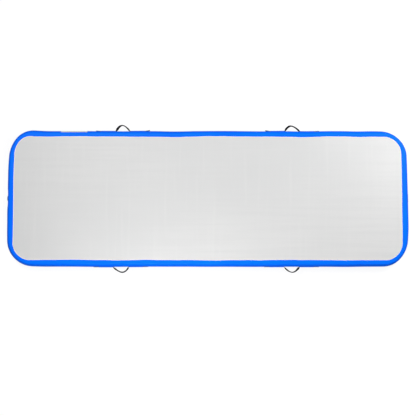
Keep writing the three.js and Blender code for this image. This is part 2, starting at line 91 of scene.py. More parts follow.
def add_camera():
    data = bpy.data.cameras.new("camera")
    data.lens = 62.93
    data.sensor_width = 36
    data.clip_start = 0.01
    data.clip_end = 200
    camera = bpy.data.objects.new("camera", data)
    place = Vector((0.0024, -0.528, 5.485))
    target = Vector((0.0024, -0.0758, HEIGHT))
    camera.location = place
    camera.rotation_euler = (target - place).to_track_quat("-Z", "Y").to_euler()
    bpy.context.scene.collection.objects.link(camera)
    bpy.context.scene.camera = camera


def add_area_light(name, place, target, size, power):
    data = bpy.data.lights.new(name, "AREA")
    data.shape = "RECTANGLE"
    data.size, data.size_y = size
    data.energy = power
    light = bpy.data.objects.new(name, data)
    light.location = place
    light.rotation_euler = (Vector(target) - Vector(place)).to_track_quat("-Z", "Y").to_euler()
    light.visible_camera = False
    bpy.context.scene.collection.objects.link(light)


def add_world(level):
    world = bpy.data.worlds.new("studio")
    world.use_nodes = True
    world.node_tree.nodes["Background"].inputs["Color"].default_value = (1, 1, 1, 1)
    world.node_tree.nodes["Background"].inputs["Strength"].default_value = level
    bpy.context.scene.world = world


add_camera()
add_world(0.26)
add_area_light("key", (2.6, 1.15, 2.2), (0.6, 0.2, 0), (0.9, 0.9), 68)
add_area_light("near_fill", (-0.43, -1.52, 1.35), (-0.35, -0.45, 0), (0.8, 0.5), 20)
add_area_light("front_fill", (1.3, -3.0, 1.0), (0.9, -0.5, 0), (0.8, 0.5), 14)
add_area_light("overhead", (-1.4, 1.5, 3.6), (-1.1, 0, 0), (1.2, 1.2), 78)
bpy.context.scene.view_settings.view_transform = "Standard"

# ---- Materials ----


class Look:
    """A node material being put together, with its shader as self.shader."""

    def __init__(self, name, roughness, specular=0.5):
        self.material = bpy.data.materials.new(name)
        self.material.use_nodes = True
        self.tree = self.material.node_tree
        self.shader = self.tree.nodes["Principled BSDF"]
        self.shader.inputs["Roughness"].default_value = roughness
        self.shader.inputs["Specular IOR Level"].default_value = specular

    def node(self, kind, settings=None, **inputs):
        made = self.tree.nodes.new(kind)
        for key, value in (settings or {}).items():
            setattr(made, key, value)
        for key, value in inputs.items():
            self.feed(made.inputs[key.replace("_", " ")], value)
        return made

    def feed(self, socket, value):
        if isinstance(value, bpy.types.NodeSocket):
            self.tree.links.new(value, socket)
        else:
            socket.default_value = value

    def math(self, operation, first, second=0.0):
        made = self.node("ShaderNodeMath", {"operation": operation})
        self.feed(made.inputs[0], first)
        self.feed(made.inputs[1], second)
        return made.outputs[0]

    def place(self, weave=False, stretch=(1, 1, 1)):
        """Coordinates in metres: on the piece's own weave, or in the mat's frame."""
        if weave:
            source = self.node("ShaderNodeUVMap", {"uv_map": "weave"}).outputs["UV"]
        else:
            source = self.node("ShaderNodeTexCoord").outputs["Object"]
        if stretch == (1, 1, 1):
            return source
        return self.node("ShaderNodeMapping", Vector=source, Scale=stretch).outputs[0]

    def noise(self, place, scale, detail=2.0, roughness=0.5):
        return self.node(
            "ShaderNodeTexNoise", Vector=place, Scale=scale, Detail=detail, Roughness=roughness
        ).outputs["Fac"]

    def ripple(self, place, axis, pitch, shift=0.0):
        """A wave from 0 to 1 along one axis."""
        split = self.node("ShaderNodeSeparateXYZ", Vector=place).outputs[axis]
        phase = self.math("ADD", self.math("MULTIPLY", split, 2 * math.pi / pitch), shift)
        return self.math("ADD", self.math("MULTIPLY", self.math("SINE", phase), 0.5), 0.5)

    def between(self, share, low, high):
        """Maps a share from 0 to 1 onto low to high."""
        return self.node(
            "ShaderNodeMapRange", Value=share, To_Min=low, To_Max=high
        ).outputs[0]

    def masked(self, value, start, full):
        return self.node(
            "ShaderNodeMapRange", Value=value, From_Min=start, From_Max=full
        ).outputs[0]

    def mix(self, share, first, second, blend="MIX"):
        made = self.node("ShaderNodeMix", {"data_type": "RGBA", "blend_type": blend})
        self.feed(made.inputs[0], share)
        self.feed(made.inputs[6], first)
        self.feed(made.inputs[7], second)
        return made.outputs[2]

    def bump(self, height, depth, under=None):
        made = self.node("ShaderNodeBump", Height=height, Distance=depth, Strength=1.0)
        if under is not None:
            self.feed(made.inputs["Normal"], under)
        return made.outputs[0]

    def finish(self, color, normal, roughness=None):
        self.feed(self.shader.inputs["Base Color"], color)
        self.feed(self.shader.inputs["Normal"], normal)
        if roughness is not None:
            self.feed(self.shader.inputs["Roughness"], roughness)
        return self.material


def grey(level):
    return (level, level, level, 1)


def sheet_fabric():
    """Grey-white coated fabric with an embossed linen grain and the pressed-in dimple pits of the drop
    stitches, darkened with painted shade.
    """
    look = Look("sheet_fabric_look", 0.5, 0.5)
    place = look.place()
    grain = look.math(
        "MULTIPLY", look.ripple(place, 0, 2.1 * MM), look.ripple(place, 1, 1.7 * MM)
    )
    # The drop-stitch dimple pattern: pressed in by a bump, and darkened in the colour as painted shade.
    dimples_and_painted_shade = look.math(
        "MULTIPLY", look.ripple(place, 0, 9.5 * MM), look.ripple(place, 1, 7.5 * MM)
    )
    dimples_and_painted_shade = look.math("POWER", dimples_and_painted_shade, 2.0)
    cloud = look.noise(place, 1.1, 3.0)
    streak = look.noise(look.place(stretch=(1.3, 34, 1)), 1.0, 3.0, 0.6)
    cross = look.noise(look.place(stretch=(30, 1.6, 1)), 1.0, 2.0, 0.5)
    speckle = look.noise(place, 900, 2.0)
    color = look.mix(look.masked(cloud, 0.35, 0.65), (0.555, 0.558, 0.558, 1), (0.585, 0.585, 0.583, 1))
    color = look.mix(look.masked(streak, 0.42, 0.75), color, (0.553, 0.555, 0.555, 1))
    color = look.mix(look.masked(cross, 0.55, 0.95), color, (0.593, 0.593, 0.59, 1))
    # Painted shade: the colour darkens in the pressed-in dimple pits.
    color = look.mix(look.math("MULTIPLY", dimples_and_painted_shade, 0.12), color, (0.46, 0.46, 0.46, 1))
    color = look.mix(look.math("MULTIPLY", speckle, 0.08), color, (0.68, 0.68, 0.68, 1))
    normal = look.bump(grain, 0.12 * MM)
    normal = look.bump(dimples_and_painted_shade, -0.22 * MM, normal)
    normal = look.bump(streak, 0.35 * MM, normal)
    roughness = look.between(look.noise(place, 5.0, 3.0), 0.44, 0.60)
    return look.finish(color, normal, roughness)


def wall_fabric(name="wall_fabric_look", tone=1.0):
    """Blue coated fabric: a fine plain weave under a satin skin, a little paler where it has rubbed."""
    look = Look(name, 0.48, 0.05)
    place = look.place(weave=True)
    weave = look.math("MULTIPLY", look.ripple(place, 0, 1.3 * MM), look.ripple(place, 1, 1.3 * MM))
    cloud = look.noise(place, 4.0, 4.0)
    rub = look.noise(look.place(weave=True, stretch=(2.0, 24, 1)), 1.5, 5.0, 0.65)
    low = (0.0, 0.134 * tone, 0.96 * tone, 1)
    high = (0.0, 0.160 * tone, 1.0 * tone, 1)
    color = look.mix(look.masked(cloud, 0.3, 0.7), low, high)
    color = look.mix(look.masked(rub, 0.62, 0.95), color, (0.006, 0.21, 1.0, 1))
    color = look.mix(look.math("MULTIPLY", weave, 0.10), color, (0.0, 0.09, 0.70, 1))
    normal = look.bump(weave, 0.10 * MM)
    normal = look.bump(cloud, 0.8 * MM, normal)
    roughness = look.between(look.noise(place, 30.0, 3.0), 0.36, 0.50)
    return look.finish(color, normal, roughness)


def seam_glue():
    """The pale line of seam glue along the laps."""
    look = Look("seam_glue_look", 0.45, 0.4)
    place = look.place()
    color = look.mix(look.noise(place, 40.0, 3.0), (0.80, 0.70, 0.54, 1), (0.88, 0.80, 0.66, 1))
    return look.finish(color, look.bump(look.noise(place, 160.0, 2.0), 0.15 * MM))


def webbing_weave():
    """Black woven webbing: ribs along it, crossed by the weft, with a few lighter worn threads."""
    look = Look("webbing_look", 0.72, 0.08)
    place = look.place(weave=True)
    ribs = look.ripple(place, 1, 1.75 * MM)
    split = look.node("ShaderNodeSeparateXYZ", Vector=place)
    slant = look.math("ADD", split.outputs[0], look.math("MULTIPLY", ribs, 0.55 * MM))
    weft = look.math("SINE", look.math("MULTIPLY", slant, 2 * math.pi / (1.15 * MM)))
    weft = look.math("ADD", look.math("MULTIPLY", weft, 0.5), 0.5)
    thread = look.math("MULTIPLY", ribs, weft)
    wear = look.noise(place, 55.0, 4.0)
    color = look.mix(thread, grey(0.0045), grey(0.020))
    color = look.mix(look.masked(wear, 0.60, 0.85), color, grey(0.045))
    normal = look.bump(ribs, 0.35 * MM)
    normal = look.bump(weft, 0.18 * MM, normal)
    return look.finish(color, normal, look.between(wear, 0.62, 0.80))


def label_film():
    """Blank pale film with a slight orange peel."""
    look = Look("label_film_look", 0.4, 0.4)
    place = look.place(weave=True)
    cloud = look.noise(place, 12.0, 3.0)
    color = look.mix(cloud, (0.80, 0.785, 0.75, 1), (0.87, 0.86, 0.83, 1))
    normal = look.bump(look.noise(place, 260.0, 2.0), 0.12 * MM)
    return look.finish(color, normal, look.between(cloud, 0.32, 0.48))


def shade(color, factor, lift=0.0):
    return tuple(channel * factor + lift for channel in color) + (1,)


def moulded(name, tint, roughness, grain=0.08 * MM, scale=900.0):
    """Moulded plastic or rubber: an even fine grain, cloudy gloss and paler dust in scattered patches.
    """
    look = Look(name, roughness, 0.45)
    place = look.place()
    cloud = look.noise(place, 60.0, 4.0)
    dust = look.noise(place, 220.0, 5.0, 0.7)
    color = look.mix(cloud, shade(tint, 0.85), shade(tint, 1.15))
    color = look.mix(look.masked(dust, 0.62, 0.9), color, shade(tint, 1.3, 0.02))
    normal = look.bump(look.noise(place, scale, 2.0), grain)
    return look.finish(color, normal, look.between(cloud, roughness * 0.85, roughness * 1.15))


def yarn_thread():
    """Off-white twisted polyester yarn."""
    look = Look("drop_yarn_look", 0.85, 0.2)
    place = look.place()
    twist = look.noise(look.place(stretch=(1, 1, 0.25)), 1600.0, 2.0)
    color = look.mix(look.noise(place, 90.0, 2.0), (0.74, 0.72, 0.67, 1), (0.86, 0.84, 0.79, 1))
    return look.finish(color, look.bump(twist, 0.2 * MM))


def spring_wire():
    """Drawn spring steel with faint die lines."""
    look = Look("spring_steel_look", 0.28, 0.5)
    look.shader.inputs["Metallic"].default_value = 1.0
    place = look.place()
    lines = look.noise(look.place(stretch=(1, 6, 6)), 700.0, 3.0)
    color = look.mix(look.noise(place, 300.0, 2.0), (0.50, 0.51, 0.53, 1), (0.66, 0.67, 0.68, 1))
    return look.finish(color, look.bump(lines, 0.03 * MM), look.between(lines, 0.2, 0.4))


SHEET_LOOK = sheet_fabric()
WALL_LOOK = wall_fabric()
PATCH_LOOK = wall_fabric("patch_fabric_look", 0.92)
GLUE_LOOK = seam_glue()
WEBBING_LOOK = webbing_weave()
LABEL_LOOK = label_film()
VALVE_LOOK = moulded("valve_plastic_look", (0.004, 0.080, 0.40), 0.42)
CAP_LOOK = moulded("cap_plastic_look", (0.003, 0.065, 0.34), 0.38)
RUBBER_LOOK = moulded("rubber_look", (0.012, 0.012, 0.012), 0.68, 0.12 * MM, 1400.0)
YARN_LOOK = yarn_thread()
STEEL_LOOK = spring_wire()

# ---- Making meshes ----


def finish_mesh(name, points, faces, weave, look, body, sharp=42, weld=False):
    """A smooth-shaded piece whose faces point out, with its weave coordinates, riding on its body."""
    mesh = bpy.data.meshes.new(name)
    mesh.from_pydata(np.asarray(points, float).tolist(), [], faces)
    if weave is not None:
        layer = mesh.uv_layers.new(name="weave")
        layer.data.foreach_set("uv", np.asarray(weave, np.float32).ravel())
    shape = bmesh.new()
    shape.from_mesh(mesh)
    if weld:
        bmesh.ops.remove_doubles(shape, verts=shape.verts, dist=1e-7)
        bmesh.ops.dissolve_degenerate(shape, edges=shape.edges, dist=1e-7)
    if shape.calc_volume(signed=True) < 0:
        bmesh.ops.reverse_faces(shape, faces=shape.faces)
    shape.to_mesh(mesh)
    shape.free()
    mesh.shade_smooth()
    mesh.set_sharp_from_angle(angle=math.radians(sharp))
    mesh.materials.append(look)
    piece = bpy.data.objects.new(name, mesh)
    bpy.context.scene.collection.objects.link(piece)
    if body:
        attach(piece, body)
    return piece


def swept(rings, along, across, endless=False):
    """Points, faces and weave coordinates of a skin over rings of equal point count."""
    rings = np.asarray(rings, float)
    count, around = rings.shape[:2]
    spans = count if endless else count - 1
    i, j = np.meshgrid(np.arange(spans), np.arange(around), indexing="ij")
    ahead = (i + 1) % count
    beside = (j + 1) % around
    corners = [i * around + j, i * around + beside, ahead * around + beside, ahead * around + j]
    faces = np.stack(corners, -1).reshape(-1, 4).tolist()
    steps = [(i, j), (i, j + 1), (i + 1, j + 1), (i + 1, j)]
    weave = np.stack([np.stack([along[a], across[b]], -1) for a, b in steps], -2).reshape(-1, 2)
    if not endless:
        first = list(range(around))[::-1]
        last = list(range((count - 1) * around, count * around))
        faces += [first, last]
        ends = [(along[0], across[k]) for k in first] + [(along[-1], across[k - last[0]]) for k in last]
        weave = np.concatenate([weave, np.array(ends)])
    return rings.reshape(-1, 3), faces, weave


def lengths(points, closed=False):
    """The distance from the first point to each, and back to it where closed."""
    points = np.asarray(points, float)
    if closed:
        points = np.concatenate([points, points[:1]])
    steps = np.linalg.norm(np.diff(points, axis=0), axis=1)
    return np.concatenate([[0], np.cumsum(steps)])


def smooth_step(value, start, full):
    share = np.clip((value - start) / (full - start), 0, 1)
    return share * share * (3 - 2 * share)


# ---- The rim ----

SIDE_STEPS = 261
END_STEPS = 62
TURN_STEPS = 24
STRAIGHT_X = ROOT_X - ROOT_CORNER
STRAIGHT_Y = ROOT_Y - ROOT_CORNER


def rim_stations():
    """Root points, outward directions and corner depth, from the near left, counterclockwise."""
    roots, outs, depths = [], [], []

    def straight(start, end, out, steps):
        for share in np.arange(steps) / steps:
            roots.append(np.array(start) + share * (np.array(end) - np.array(start)))
            outs.append(out)
            depths.append(0.0)

    def corner(centre, first, steps):
        for share in np.arange(steps) / steps:
            turn = math.radians(first + 90 * share)
            out = (math.cos(turn), math.sin(turn))
            roots.append(np.array(centre) + ROOT_CORNER * np.array(out))
            outs.append(out)
            depths.append(math.sin(math.pi * share))

    x, y = STRAIGHT_X, STRAIGHT_Y
    straight((-x, -ROOT_Y), (x, -ROOT_Y), (0, -1), SIDE_STEPS)
    corner((x, -y), -90, TURN_STEPS)
    straight((ROOT_X, -y), (ROOT_X, y), (1, 0), END_STEPS)
    corner((x, y), 0, TURN_STEPS)
    straight((x, ROOT_Y), (-x, ROOT_Y), (0, 1), SIDE_STEPS)
    corner((-x, y), 90, TURN_STEPS)
    straight((-ROOT_X, y), (-ROOT_X, -y), (-1, 0), END_STEPS)
    corner((-x, -y), 180, TURN_STEPS)
    return np.array(roots), np.array(outs, float), np.array(depths)


ROOTS, OUTS, CORNERS = rim_stations()
STATIONS = len(ROOTS)
RIM_ALONG = lengths(ROOTS, closed=True)


def valve_flatness(x, y):
    """1 where the wall is pressed flat round the valve, 0 away from it."""
    flat = 1 - smooth_step(np.abs(y), *VALVE_FLAT_SPAN)
    return np.where(np.asarray(x) < -STRAIGHT_X, flat, 0.0)


PULL_REACH = 260 * MM
SWAY_FADE = 60 * MM
# Beside the valve, the end wall sways fully only beyond the first |y| and not at all inside the second.
STEADY_SPAN = (200 * MM, 100 * MM)
# How far each corner is drawn in, and how much more so on its end wall than on its long wall.
CORNER_PULLS = {
    (-1, -1): (5.5 * MM, 0.0),
    (1, -1): (8.5 * MM, 6.0 * MM),
    (-1, 1): (0.5 * MM, 10.0 * MM),
    (1, 1): (3.5 * MM, -1.5 * MM),
}
# Where a long wall bows in or out and its lap is wider or narrower: side and place, the reach
# along the wall, and in millimetres how far in it bows and how much wider the lap is.
BOWS = [
    (1, -0.26, 0.12, 3.5, 3.5),
    (1, 0.74, 0.10, 4.0, 3.5),
    (1, 1.14, 0.10, 3.5, 4.5),
    (-1, -0.98, 0.08, 0.0, 3.0),
    (-1, -0.48, 0.10, 0.0, 2.5),
    (-1, 0.0, 0.12, -2.0, -3.5),
    (-1, 0.52, 0.12, 0.0, 2.5),
    (-1, 1.03, 0.12, -3.0, -3.0),
]
BOW_IN, BOW_WIDER = 3, 4


def bowed(x, y, column):
    """The sum of the bows at one place: column is BOW_IN or BOW_WIDER."""
    total = 0.0
    for bow in BOWS:
        side, place, reach = bow[:3]
        total = total + (np.sign(y) == side) * bow[column] * np.exp(-(((x - place) / reach) ** 2))
    return total


def sway(x, y):
    """How far the whole wall stands in or out of its straight line, as an inflated one does."""
    waves = 0.9 * np.sin(5.3 * x + 3.1 * y + 0.7) + 0.6 * np.sin(11.9 * x - 4.7 * y + 2.1)
    beside_valve = 1 - smooth_step(np.abs(y), *STEADY_SPAN)
    steady = np.where(np.asarray(x) < -STRAIGHT_X, beside_valve, 1.0)
    return (waves - bowed(x, y, BOW_IN)) * MM * steady - corner_pull(x, y)


def corner_pull(x, y):
    """How far the rim is drawn in near each corner."""
    past_x = np.abs(x) - STRAIGHT_X
    past_y = np.abs(y) - STRAIGHT_Y
    angle = np.arctan2(np.maximum(past_y, 0), np.maximum(past_x, 0))
    bend = np.abs(angle - math.pi / 4) * ROOT_CORNER
    away = bend - np.minimum(past_x, 0) - np.minimum(past_y, 0)
    pull = np.zeros(np.shape(angle))
    for (side_x, side_y), (mean, lean) in CORNER_PULLS.items():
        here = (np.sign(x) == side_x) & (np.sign(y) == side_y)
        pull = np.where(here, mean + lean * np.cos(2 * angle), pull)
    return pull * smooth_step(away, PULL_REACH, 0)


def lap_width(face):
    """How far a lap reaches inwards at each station; its cut edge wavers a little."""
    x, y = ROOTS[:, 0], ROOTS[:, 1]
    phase = 0.0 if face == "top" else 2.4
    waver = 1.2 * np.sin(6.4 * x + 9.0 * y + phase)
    waver += 0.7 * np.sin(17.3 * x - 5.2 * y + 2 * phase)
    waver += 0.35 * np.sin(41.0 * x + 23.0 * y + phase) + bowed(x, y, BOW_WIDER)
    at_ends = smooth_step(np.abs(x), STRAIGHT_X, ROOT_X)
    return LAP - CORNER_LAP_LOSS * CORNERS + (waver - 1.0 + 4.2 * at_ends) * MM


TOP_LAP = lap_width("top")
BOTTOM_LAP = lap_width("bottom")
SWAY = sway(ROOTS[:, 0], ROOTS[:, 1])


def wall_point(angle, lift=0.0, flat=0.0):
    """(u, z) on the wall, lifted off it; flat presses the bulge in round the valve."""
    angle = np.asarray(angle, float)
    on_edge = np.abs(angle) > EDGE_SLOPE
    radius = lift + np.where(on_edge, EDGE_RADIUS, BULGE_RADIUS)
    centre_z = np.where(on_edge, np.sign(angle) * (MIDDLE - EDGE_RADIUS), 0.0)
    u = np.where(on_edge, EDGE_CENTRE, BULGE_CENTRE) + radius * np.cos(angle)
    over = u - lift - VALVE_FLAT
    soft = 0.5 * (over + np.sqrt(over * over + VALVE_SOFT**2))
    return u - flat * soft, MIDDLE + centre_z + radius * np.sin(angle)


def rim_points(u, z):
    """Points at every station, at one distance outwards and one height each."""
    u = np.broadcast_to(u, STATIONS)
    u = u + SWAY * smooth_step(u, -SWAY_FADE, 0)
    xy = ROOTS + OUTS * u[:, None]
    return np.column_stack([xy, np.broadcast_to(z, STATIONS)])


# ---- The two sheets ----


def field_grid(inset):
    """A grid inside the rim whose border has the rim's own stations."""
    radius = ROOT_CORNER - inset
    turns = np.radians(np.linspace(-90, 0, TURN_STEPS + 1))
    corner_y = -STRAIGHT_Y + radius * np.sin(turns)
    corner_x = STRAIGHT_X + radius * np.cos(turns)
    middle_y = np.linspace(-STRAIGHT_Y, STRAIGHT_Y, END_STEPS + 1)[1:-1]
    y = np.concatenate([corner_y, middle_y, -corner_y[::-1]])
    half_x = np.concatenate([corner_x, np.full(len(middle_y), ROOT_X - inset), corner_x[::-1]])
    share = np.linspace(-1, 1, SIDE_STEPS + 1)
    return half_x[:, None] * share[None, :], np.repeat(y[:, None], len(share), axis=1)


def border_of(rows, columns):
    """Indices round a grid's border, from its first corner, counterclockwise."""
    index = np.arange(rows * columns).reshape(rows, columns)
    return np.concatenate([index[0], index[1:, -1], index[-1, -2::-1], index[-2:0:-1, 0]])


def undulation(x, y):
    """The slow waves of a blown-up sheet and the soft creases where it was folded away."""
    waves = 0.30 * np.sin(7.0 * x + 4.0 * y) + 0.22 * np.sin(13.0 * x - 9.0 * y + 1.0)
    waves += 0.12 * np.sin(3.0 * x + 29.0 * y + 2.0)
    for place, slant, depth, wide in FOLDS:
        waves += depth * np.exp(-(((x - place - slant * y) / wide) ** 2))
    return waves * MM


# Where a fold crosses the middle line, its slant, how high it stands in millimetres and its width.
FOLDS = [
    (-1.12, 0.01, 0.35, 0.022),
    (-0.74, -0.02, -0.45, 0.018),
    (-0.36, 0.015, 0.30, 0.025),
    (0.049, 0.0, -1.0, 0.009),
    (0.47, -0.01, -0.35, 0.022),
    (0.86, 0.02, 0.40, 0.020),
    (1.19, -0.015, -0.30, 0.024),
]
FIELD_INSET = 66 * MM
# Millimetres: where a sheet's open rings lie inside the lap's edge, and its dip at the last of them.
OPEN_RUN = (25, 18, 12, 8, 5.5, 3.5)
DIP_AT, DIP_DEPTH = 1.5, 0.45
# Distance inside the lap's edge and depth below the outer face, where a sheet runs under its lap.
EDGE_RUN = [(0.0, 1.05), (-1.0, 1.3), (-3.0, 1.9), (-6.0, 2.5), (-8.0, 2.65)]
# Between these distances the rings change from the field's outline to the lap's.
FOLLOW_FIELD, FOLLOW_LAP = 33, 12
# Between these distances the sheet's waves die out.
CALM, WAVY = 3, 30


def make_sheet(name, node, face, waves):
    """The top or bottom sheet: a wavy field, and an edge that runs under both wall strips."""
    lap = TOP_LAP if face == "top" else BOTTOM_LAP
    level = TOP_INSET if face == "top" else 0.0
    sign, zero = (-1, HEIGHT) if face == "top" else (1, 0.0)
    x, y = field_grid(FIELD_INSET)
    wave = undulation(x, y) * waves
    points = [np.column_stack([x.ravel(), y.ravel(), (zero + sign * level + wave).ravel()])]
    border = border_of(*x.shape)
    wave_at_rim = wave.ravel()[border]
    open_run = [(inside, level / MM) for inside in OPEN_RUN]
    open_run.append((DIP_AT, max(level / MM, DIP_DEPTH)))
    for inside, depth in open_run + EDGE_RUN:
        share = smooth_step(inside, FOLLOW_FIELD, FOLLOW_LAP)
        on_field = FIELD_INSET - (FOLLOW_FIELD - inside) * MM
        u = -((1 - share) * on_field + share * (lap + inside * MM))
        fade = smooth_step(inside, CALM, WAVY)
        points.append(rim_points(u, zero + sign * depth * MM + wave_at_rim * fade))
    points.append(rim_points(-SHEET_EDGE, zero + sign * EDGE_RUN[-1][1] * MM))
    outer = np.concatenate(points)
    inner = outer + np.array([0, 0, sign * SKIN])
    faces = shell_faces(x.shape, len(points) - 1, len(outer))
    piece = finish_mesh(
        name, np.concatenate([outer, inner]), faces, None, SHEET_LOOK, "root"
    )
    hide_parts(node)
    return piece


def shell_faces(shape, rings, total):
    """Faces of a field grid, the rings round it, its inner copy and the edge between the two."""
    rows, columns = shape
    index = np.arange(rows * columns).reshape(shape)
    corners = [index[:-1, :-1], index[:-1, 1:], index[1:, 1:], index[1:, :-1]]
    faces = [np.stack(corners, -1).reshape(-1, 4)]
    inner_loop = border_of(rows, columns)
    for ring in range(rings):
        outer_loop = rows * columns + ring * STATIONS + np.arange(STATIONS)
        corners = [inner_loop, outer_loop, np.roll(outer_loop, -1), np.roll(inner_loop, -1)]
        faces.append(np.stack(corners, -1))
        inner_loop = outer_loop
    skin = np.concatenate(faces)
    corners = [inner_loop, inner_loop + total, np.roll(inner_loop, -1) + total, np.roll(inner_loop, -1)]
    return np.concatenate([skin, skin[:, ::-1] + total, np.stack(corners, -1)]).tolist()


# ---- The side wall ----

SLOPE = math.degrees(EDGE_SLOPE)
EDGE_STEPS = np.linspace(SLOPE, 90, 8)[1:]
ARC_ANGLES = np.radians(
    np.concatenate([-EDGE_STEPS[::-1], np.linspace(-SLOPE, SLOPE, 19), EDGE_STEPS])
)
INNER_ANGLES = ARC_ANGLES[::2]
LAP_STEPS = 5
# A lap's cut edge: its bevel, how far its end is squared off and how far its two corners are apart.
LAP_BEVEL = 0.25 * MM
LAP_SQUARE = 0.15 * MM
LAP_CORNER = 0.05 * MM
VALVE_HOLE_RADIUS = 18.4 * MM


def puckers(height_share):
    """Small gathers where the strip is pulled round a corner."""
    turn = np.arctan2(OUTS[:, 1], OUTS[:, 0])
    gathers = np.sin(26 * turn) + 0.5 * np.sin(41 * turn + 1.3)
    return 0.45 * MM * height_share * CORNERS * gathers


def wall_face(depth, angles, flat, shorter):
    """One face of a wall strip, from the bottom lap's edge to the top lap's edge."""
    lines = []
    for share in np.linspace(0, 1, LAP_STEPS, endpoint=False):
        u = -((BOTTOM_LAP - shorter) * (1 - share)) + share * EDGE_CENTRE
        lines.append(rim_points(u, depth))
    for angle in angles:
        share = abs(math.sin(2 * angle))
        u, z = wall_point(angle, -depth, flat)
        lines.append(rim_points(u + puckers(share), z))
    for share in np.linspace(1, 0, LAP_STEPS + 1)[1:]:
        u = -((TOP_LAP - shorter) * (1 - share)) + share * EDGE_CENTRE
        lift = puckers(0.8 * share * (1 - share) * 4)
        lines.append(rim_points(u, HEIGHT - depth - np.abs(lift) * 0.5))
    return lines


def make_wall_strip(name, node, depth, shorter):
    """A strip round the whole rim at one depth, its laps shorter than the outer strip's."""
    flat = valve_flatness(ROOTS[:, 0], ROOTS[:, 1])
    outer = wall_face(depth, ARC_ANGLES, flat, shorter)
    inner = wall_face(depth + SKIN, INNER_ANGLES, flat, shorter)
    top_end = shorter - TOP_LAP - LAP_SQUARE
    bottom_end = shorter - BOTTOM_LAP - LAP_SQUARE
    edge_depths = [depth + LAP_BEVEL, depth + SKIN - LAP_CORNER]
    top_edge = [rim_points(top_end, HEIGHT - level) for level in edge_depths]
    bottom_edge = [rim_points(bottom_end, level) for level in edge_depths[::-1]]
    rings = np.stack(outer + top_edge + inner[::-1] + bottom_edge, axis=1)
    across = lengths(rings[0], closed=True)
    points, faces, weave = swept(rings, RIM_ALONG, across, endless=True)
    piece = finish_mesh(name, points, faces, weave, WALL_LOOK, "root", sharp=60)
    cut_valve_hole(piece)
    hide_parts(node)
    developed = lengths(np.stack(outer, axis=1)[0])[-1]
    return piece


def cut_valve_hole(piece):
    """Cuts the round hole that the valve's barrel passes through."""
    bpy.ops.mesh.primitive_cylinder_add(
        vertices=64,
        radius=VALVE_HOLE_RADIUS,
        depth=60 * MM,
        location=(-ROOT_X - VALVE_FLAT, 0, VALVE_Z),
        rotation=(0, math.pi / 2, 0),
    )
    cutter = bpy.context.object
    cut = piece.modifiers.new("valve_hole", "BOOLEAN")
    cut.operation = "DIFFERENCE"
    cut.solver = "EXACT"
    cut.object = cutter
    depsgraph = bpy.context.evaluated_depsgraph_get()
    mesh = bpy.data.meshes.new_from_object(piece.evaluated_get(depsgraph))
    piece.modifiers.clear()
    piece.data = mesh
    bpy.data.objects.remove(cutter)


# A bead's section in millimetres: distance inside the lap's edge and depth below the outer face.
BEADS = {
    "top": [
        (0.2, 0.98), (0.2, 0.42), (1.0, 0.40), (2.3, 0.52), (3.5, 0.70), (4.2, 0.84), (4.2, 0.98),
    ],
    "bottom": [
        (0.2, 1.0), (0.2, 0.2), (1.2, 0.10), (2.2, 0.10), (3.2, 0.08), (3.3, 0.2), (2.0, 0.5),
    ],
}


def make_seam_bead(name, face):
    """A line of glue in the corner between a sheet and its lap."""
    lap = TOP_LAP if face == "top" else BOTTOM_LAP
    sign, zero = (-1, HEIGHT) if face == "top" else (1, 0.0)
    rings = [
        rim_points(-(lap + inside * MM), zero + sign * depth * MM) for inside, depth in BEADS[face]
    ]
    rings = np.stack(rings, axis=1)
    points, faces, weave = swept(rings, RIM_ALONG, lengths(rings[0], closed=True), endless=True)
    return finish_mesh(name, points, faces, weave, GLUE_LOOK, "root")


# ---- Patches on the wall ----

PATCH_THICK = 0.85 * MM
GLUE_LINE = 0.05 * MM
PATCH_STEP = 6 * MM
# How far up or down the wall's arc a patch reaches.
PATCH_REACH = math.radians(27)
LABEL_TOP = math.radians(38)
COVER_REACH = math.radians(60)


def on_long_side(side):
    def place(x, u, z):
        y = side * (ROOT_Y + u + sway(x, side * ROOT_Y))
        return np.stack(np.broadcast_arrays(x, y, z), -1)

    return place


def on_right_end(y, u, z):
    return np.stack(np.broadcast_arrays(ROOT_X + u + sway(ROOT_X, y), y, z), -1)


def make_patch(name, node, place, span, low, high, corner, look, lift):
    """A glued-on patch with round corners that follows the wall. lift gives its stand-off by angle."""
    start, end = span
    border = corner * (1 - np.cos(np.linspace(0, math.pi / 2, 7)[:-1]))
    body = np.linspace(start + corner, end - corner, max(4, int((end - start) / PATCH_STEP)))
    stops = np.concatenate([start + border, body, (end - border)[::-1]])
    rings = []
    for stop in stops:
        near = min(stop - start, end - stop, corner)
        inset = corner - math.sqrt(max(0.0, corner**2 - (corner - near) ** 2))
        inset = min(inset, corner * 0.98) / BULGE_RADIUS
        angles = np.linspace(low + inset, high - inset, 41)
        u, z = wall_point(angles, lift(angles) + PATCH_THICK + GLUE_LINE)
        thin_u, thin_z = wall_point(angles, lift(angles) + GLUE_LINE)
        u[[0, -1]] = (u[[0, -1]] + thin_u[[0, -1]]) / 2
        z[[0, -1]] = (z[[0, -1]] + thin_z[[0, -1]]) / 2
        outer = place(stop, u, z)
        inner = place(stop, thin_u, thin_z)[::-1]
        rings.append(np.concatenate([outer, inner]))
    rings = np.stack(rings)
    across = lengths(rings[len(rings) // 2], closed=True)
    points, faces, weave = swept(rings, stops - start, across)
    piece = finish_mesh(name, points, faces, weave, look, "root", sharp=50)
    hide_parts(node)
    return piece


def close_lift(angles):
    return np.full(np.shape(angles), GLUE_LINE)


def make_label():
    low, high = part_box("label_patch")
    make_patch(
        "label_blank_film", "label_patch", on_long_side(1), (low.x, high.x),
        -PATCH_REACH, LABEL_TOP, 6 * MM, LABEL_LOOK, close_lift,
    )


def make_joint_cover():
    low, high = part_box("side_wall_joint_cover")
    make_patch(
        "side_wall_joint_strip", "side_wall_joint_cover", on_right_end, (low.y, high.y),
        -COVER_REACH, COVER_REACH, 8 * MM, PATCH_LOOK, close_lift,
    )


# ---- Carry handles ----

WEB_HALF = 12.25 * MM
WEB_THICK = 2 * MM
WEB_GAP = 0.1 * MM
WEB_STEP = 2.4 * MM
